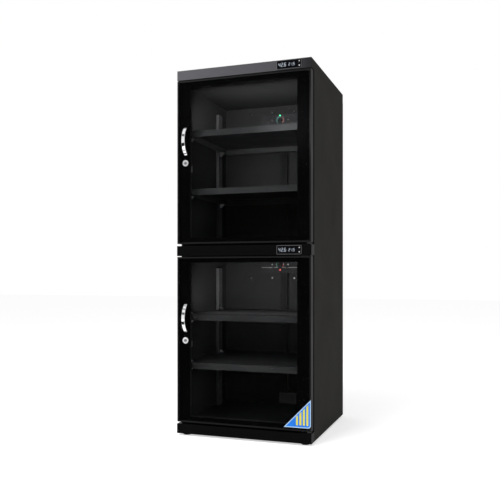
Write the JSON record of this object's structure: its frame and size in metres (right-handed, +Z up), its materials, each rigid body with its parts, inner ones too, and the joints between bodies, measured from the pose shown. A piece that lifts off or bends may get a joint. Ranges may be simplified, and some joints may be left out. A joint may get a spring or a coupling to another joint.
{
  "type": "camera dry cabinet",
  "caption": "Two-door black steel camera dry cabinet with framed glass doors, chrome bow handles, key locks, slotted uprights, folded shelves, humidity displays and drying units.",
  "frame": {"origin": "middle of the cabinet's outer width and depth, on the floor under the feet", "axes": "+Z up, -Y out of the front with the glass doors, +X to the viewer's right, where the doors' hinges are"},
  "size_m": [0.6, 0.6396, 1.5725],
  "materials": {
    "shell_paint": "fine matt powder coat",
    "black_steel": "black passivated plate",
    "front_paint": "satin black powder coat",
    "inner_paint": "smooth satin paint",
    "shelf_paint": "smooth satin paint",
    "door_paint": "fine matt powder coat",
    "door_glass": "clear, with a printed black border",
    "seal_rubber": "soft magnetic seal",
    "foot_rubber": "hard rubber",
    "black_plastic": "moulded",
    "unit_plastic": "moulded",
    "desiccant_case": "moulded",
    "knob_plastic": "moulded",
    "circuit_board": "solder mask",
    "bezel_plastic": "polished mould",
    "button_plastic": "polished mould",
    "display_window": "dark display filter",
    "led_green": "lit lens",
    "led_red": "lit lens",
    "handle_chrome": "bright plate",
    "lock_chrome": "satin plate",
    "zinc_steel": "zinc plate"
  },
  "bodies": {
    "cabinet": {"top_cover": "shell_paint", "ceiling_panel": "inner_paint", "side_panel_left": "shell_paint", "side_panel_right": "shell_paint", "middle_rail": "front_paint", "upper_floor_panel": "inner_paint", "lower_ceiling_panel": "inner_paint", "base_plinth": "front_paint", "floor_panel": "inner_paint", "back_liner_upper": "inner_paint", "back_liner_lower": "inner_paint", "back_panel": "shell_paint", "rear_vents": "black_plastic", "power_inlet": "black_plastic", "inlet_prongs": "zinc_steel", "uprights": "inner_paint", "shelf_1": "shelf_paint", "shelf_2": "shelf_paint", "shelf_3": "shelf_paint", "shelf_4": "shelf_paint", "shelf_clips": "zinc_steel", "wiring_ducts": "inner_paint", "low_vent": "black_plastic", "unit_case_upper": "unit_plastic", "unit_case_lower": "unit_plastic", "desiccant_boxes": "desiccant_case", "leds_green": "led_green", "leds_red": "led_red", "display_bezel_upper": "bezel_plastic", "display_bezel_lower": "bezel_plastic", "display_window_upper": "display_window", "display_window_lower": "display_window", "display_boards": "circuit_board", "hinge_plates": "black_steel", "body_screws": "zinc_steel", "feet": "foot_rubber"},
    "knob_upper": {"unit_knob_upper": "knob_plastic"},
    "knob_lower": {"unit_knob_lower": "knob_plastic"},
    "up_button_upper": {"button_up_upper": "button_plastic"},
    "down_button_upper": {"button_down_upper": "button_plastic"},
    "up_button_lower": {"button_up_lower": "button_plastic"},
    "down_button_lower": {"button_down_lower": "button_plastic"},
    "door_upper": {"door_frame_upper": "door_paint", "door_glass_upper": "door_glass", "door_seal_upper": "seal_rubber", "door_plugs_upper": "black_plastic", "handle_upper": "handle_chrome", "handle_screws_upper": "zinc_steel", "lock_barrel_upper": "lock_chrome"},
    "lock_upper": {"lock_plug_upper": "lock_chrome", "lock_cam_upper": "zinc_steel"},
    "door_lower": {"door_frame_lower": "door_paint", "door_glass_lower": "door_glass", "door_seal_lower": "seal_rubber", "door_plugs_lower": "black_plastic", "handle_lower": "handle_chrome", "handle_screws_lower": "zinc_steel", "lock_barrel_lower": "lock_chrome"},
    "lock_lower": {"lock_plug_lower": "lock_chrome", "lock_cam_lower": "zinc_steel"}
  },
  "joints": [
    {"name": "door_hinge_upper", "type": "hinge", "parent": "cabinet", "child": "door_upper", "pos_m": [0.286, -0.27815, 1.17675], "axis": [0, 0, 1], "range_deg": [0, 110]},
    {"name": "lock_turn_upper", "type": "hinge", "parent": "door_upper", "child": "lock_upper", "pos_m": [-0.259, -0.294, 1.17295], "axis": [0, 1, 0], "range_deg": [0, 90]},
    {"name": "knob_turn_upper", "type": "hinge", "parent": "cabinet", "child": "knob_upper", "pos_m": [0, 0.23765, 1.456], "axis": [0, 1, 0], "range_deg": [-135, 135]},
    {"name": "door_hinge_lower", "type": "hinge", "parent": "cabinet", "child": "door_lower", "pos_m": [0.286, -0.27815, 0.4145], "axis": [0, 0, 1], "range_deg": [0, 110]},
    {"name": "lock_turn_lower", "type": "hinge", "parent": "door_lower", "child": "lock_lower", "pos_m": [-0.259, -0.294, 0.4107], "axis": [0, 1, 0], "range_deg": [0, 90]},
    {"name": "knob_turn_lower", "type": "hinge", "parent": "cabinet", "child": "knob_lower", "pos_m": [0, 0.23765, 0.743], "axis": [0, 1, 0], "range_deg": [-135, 135]},
    {"name": "up_button_press_upper", "type": "slide", "parent": "cabinet", "child": "up_button_upper", "axis": [0, 1, 0], "range_m": [0, 0.0012], "stiffness_N_per_m": 400, "springref_m": -0.0012},
    {"name": "down_button_press_upper", "type": "slide", "parent": "cabinet", "child": "down_button_upper", "axis": [0, 1, 0], "range_m": [0, 0.0012], "stiffness_N_per_m": 400, "springref_m": -0.0012},
    {"name": "up_button_press_lower", "type": "slide", "parent": "cabinet", "child": "up_button_lower", "axis": [0, 1, 0], "range_m": [0, 0.0012], "stiffness_N_per_m": 400, "springref_m": -0.0012},
    {"name": "down_button_press_lower", "type": "slide", "parent": "cabinet", "child": "down_button_lower", "axis": [0, 1, 0], "range_m": [0, 0.0012], "stiffness_N_per_m": 400, "springref_m": -0.0012}
  ]
}
